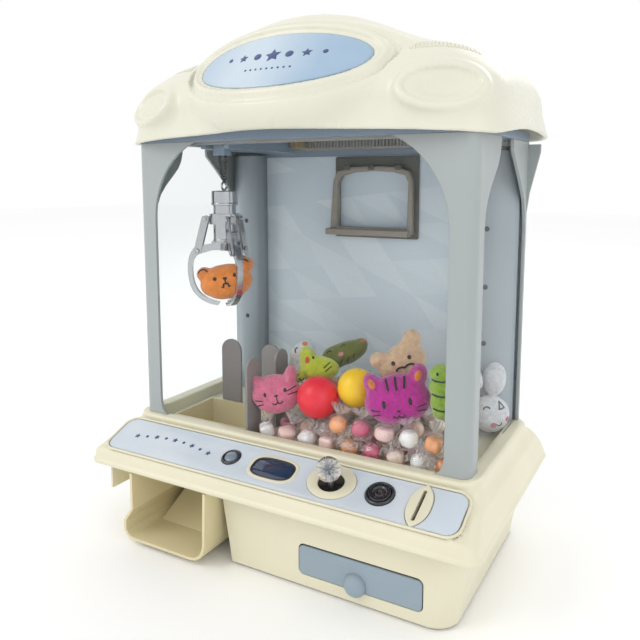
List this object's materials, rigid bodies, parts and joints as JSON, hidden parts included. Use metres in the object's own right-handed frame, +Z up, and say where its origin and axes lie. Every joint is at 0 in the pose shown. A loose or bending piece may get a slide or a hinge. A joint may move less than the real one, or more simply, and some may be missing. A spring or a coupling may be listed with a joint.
{
  "type": "claw crane machine",
  "caption": "Tabletop toy claw crane machine: clear cabin on a drafted base, domed roof, gantry with three-finger claw, sloped control panel, prize scoop and coin drawer.",
  "frame": {"origin": "on the table, under the middle of the deck's outline", "axes": "+X to the player's right, +Y to the rear, +Z up"},
  "size_m": [0.33, 0.203, 0.417],
  "materials": {
    "cream_plastic": "moulded ABS, satin gloss",
    "grey_blue_plastic": "moulded ABS, satin",
    "slate_plastic": "moulded ABS, satin",
    "warm_grey_plastic": "moulded ABS, satin",
    "black_plastic": "moulded ABS, gloss",
    "clear_plastic": "clear sheet",
    "crystal": "clear moulded acrylic",
    "overlay": "printed film",
    "sign_print": "printed film behind gloss",
    "back_print": "printed sheet with tone on tone triangles",
    "lcd": "display window",
    "start_cap": "clear over blue grey",
    "chrome": "plated",
    "steel": "brushed",
    "blackened": "blackened",
    "nylon": "moulded nylon gears and racks",
    "rubber": "matt",
    "circuit": "solder mask",
    "battery": "sleeved",
    "plush": "short pile fleece",
    "plush_orange": "short pile fleece",
    "ball": "hollow moulded ball",
    "sweets": "boiled sweets in clear wrap"
  },
  "bodies": {
    "cabinet": {"base_tub": "cream_plastic", "base_plate": "cream_plastic", "base_vents": "warm_grey_plastic", "rubber_feet": "rubber", "deck": "cream_plastic", "control_overlay": "overlay", "control_rings": "black_plastic", "chute_liner": "cream_plastic", "chute_guards": "warm_grey_plastic", "prize_scoop": "cream_plastic", "coin_plate": "cream_plastic", "coin_guide": "cream_plastic", "lcd_window": "lcd", "joystick_plate": "cream_plastic", "joystick_collar": "chrome", "joystick_frame": "black_plastic", "main_board": "circuit", "speaker": "black_plastic", "battery_box": "warm_grey_plastic", "batteries": "battery", "battery_door": "cream_plastic", "pillars_front": "grey_blue_plastic", "pillars_rear": "grey_blue_plastic", "top_frame": "grey_blue_plastic", "windows": "clear_plastic", "back_panel": "grey_blue_plastic", "back_sheet": "back_print", "refill_frame": "grey_blue_plastic", "roof_shell": "cream_plastic", "sign_panel": "sign_print", "ceiling_plate": "grey_blue_plastic", "gantry_rails": "nylon", "prize_plushes": "plush", "prize_balls": "ball", "prize_sweets": "sweets", "screws": "steel"},
    "bridge": {"bridge": "grey_blue_plastic"},
    "bridge_pinion": {"bridge_pinion": "nylon"},
    "trolley": {"trolley": "grey_blue_plastic"},
    "trolley_pinion": {"trolley_pinion": "nylon"},
    "hoist_drum": {"hoist_drum": "nylon"},
    "claw_head": {"lift_chains": "blackened", "claw_hanger": "chrome", "claw_core": "chrome"},
    "claw_collar": {"claw_collar": "chrome"},
    "link_1": {"claw_link_1": "chrome"},
    "link_2": {"claw_link_2": "chrome"},
    "link_3": {"claw_link_3": "chrome"},
    "finger_1": {"claw_finger_1": "chrome", "prize_bear_orange": "plush_orange"},
    "finger_2": {"claw_finger_2": "chrome"},
    "finger_3": {"claw_finger_3": "chrome"},
    "coin_drawer": {"coin_drawer": "slate_plastic"},
    "start_button": {"start_button": "start_cap"},
    "catch_button": {"catch_button": "black_plastic"},
    "joystick_yoke": {"joystick_yoke": "black_plastic"},
    "joystick": {"joystick_ball": "crystal", "joystick_shaft": "steel"},
    "refill_door": {"refill_door": "back_print"},
    "power_switch": {"power_switch": "black_plastic"}
  },
  "joints": [
    {"name": "bridge_slide", "type": "slide", "parent": "cabinet", "child": "bridge", "axis": [1, 0, 0], "range_m": [0, 0.16]},
    {"name": "bridge_pinion_spin", "type": "hinge", "parent": "bridge", "child": "bridge_pinion", "pos_m": [-0.056, 0.0566, 0.326], "axis": [0, 0, 1], "range_deg": [-1, 1286.72]},
    {"name": "trolley_slide", "type": "slide", "parent": "bridge", "child": "trolley", "axis": [0, 1, 0], "range_m": [0, 0.058]},
    {"name": "trolley_pinion_spin", "type": "hinge", "parent": "trolley", "child": "trolley_pinion", "pos_m": [-0.0728, -0.0115, 0.328], "axis": [0, 0, 1], "range_deg": [-933.15, 1]},
    {"name": "claw_hoist", "type": "slide", "parent": "trolley", "child": "claw_head", "axis": [0, 0, -1], "range_m": [0, 0.018]},
    {"name": "hoist_drum_spin", "type": "hinge", "parent": "trolley", "child": "hoist_drum", "pos_m": [-0.077, -0.0212, 0.3406], "axis": [1, 0, 0], "range_deg": [-1, 215.86]},
    {"name": "claw_open", "type": "slide", "parent": "claw_head", "child": "claw_collar", "axis": [0, 0, 1], "range_m": [0, 0.0048]},
    {"name": "coin_drawer_slide", "type": "slide", "parent": "cabinet", "child": "coin_drawer", "axis": [0, -1, 0], "range_m": [0, 0.058]},
    {"name": "start_press", "type": "slide", "parent": "cabinet", "child": "start_button", "axis": [0, 0.2723, -0.9622], "range_m": [0, 0.0018], "stiffness_N_per_m": 250, "springref_m": -0.0008},
    {"name": "catch_press", "type": "slide", "parent": "cabinet", "child": "catch_button", "axis": [0, 0.2723, -0.9622], "range_m": [0, 0.0025], "stiffness_N_per_m": 250, "springref_m": -0.001},
    {"name": "joystick_fore_aft", "type": "hinge", "parent": "cabinet", "child": "joystick_yoke", "pos_m": [0.0545, -0.08063, 0.07767], "axis": [1, 0, 0], "range_deg": [-13, 13], "stiffness_Nm_per_rad": 0.05},
    {"name": "joystick_side", "type": "hinge", "parent": "joystick_yoke", "child": "joystick", "pos_m": [0.0545, -0.08063, 0.07767], "axis": [0, 0.9622, 0.2723], "range_deg": [-13, 13], "stiffness_Nm_per_rad": 0.05},
    {"name": "refill_door_swing", "type": "hinge", "parent": "cabinet", "child": "refill_door", "pos_m": [-0.0408, 0.0844, 0.277], "axis": [0, 0, 1], "range_deg": [0, 105]},
    {"name": "power_switch_slide", "type": "slide", "parent": "cabinet", "child": "power_switch", "axis": [1, 0, 0], "range_m": [0, 0.005]},
    {"name": "finger_1_swing", "type": "hinge", "parent": "claw_head", "child": "finger_1", "pos_m": [-0.08393, -0.03, 0.24], "axis": [-0.5, 0.866, 0], "range_deg": [-1, 20]},
    {"name": "link_1_swing", "type": "hinge", "parent": "claw_collar", "child": "link_1", "pos_m": [-0.09077, -0.03395, 0.262], "axis": [-0.5, 0.866, 0], "range_deg": [-1, 2.13]},
    {"name": "finger_2_swing", "type": "hinge", "parent": "claw_head", "child": "finger_2", "pos_m": [-0.07007, -0.03, 0.24], "axis": [-0.5, -0.866, 0], "range_deg": [-1, 20]},
    {"name": "link_2_swing", "type": "hinge", "parent": "claw_collar", "child": "link_2", "pos_m": [-0.06323, -0.03395, 0.262], "axis": [-0.5, -0.866, 0], "range_deg": [-1, 2.13]},
    {"name": "finger_3_swing", "type": "hinge", "parent": "claw_head", "child": "finger_3", "pos_m": [-0.077, -0.018, 0.24], "axis": [1, 0, 0], "range_deg": [-1, 20]},
    {"name": "link_3_swing", "type": "hinge", "parent": "claw_collar", "child": "link_3", "pos_m": [-0.077, -0.0101, 0.262], "axis": [1, 0, 0], "range_deg": [-1, 2.13]}
  ],
  "couplings": [
    {"joint": "bridge_pinion_spin", "follows": "bridge_slide", "rad_per_m": 140.25},
    {"joint": "trolley_pinion_spin", "follows": "trolley_slide", "rad_per_m": -280.5},
    {"joint": "hoist_drum_spin", "follows": "claw_hoist", "rad_per_m": 208.33},
    {"joint": "finger_1_swing", "follows": "claw_open", "rad_per_m": 69.1},
    {"joint": "link_1_swing", "follows": "claw_open", "rad_per_m": 4.1},
    {"joint": "finger_2_swing", "follows": "claw_open", "rad_per_m": 69.1},
    {"joint": "link_2_swing", "follows": "claw_open", "rad_per_m": 4.1},
    {"joint": "finger_3_swing", "follows": "claw_open", "rad_per_m": 69.1},
    {"joint": "link_3_swing", "follows": "claw_open", "rad_per_m": 4.1}
  ]
}
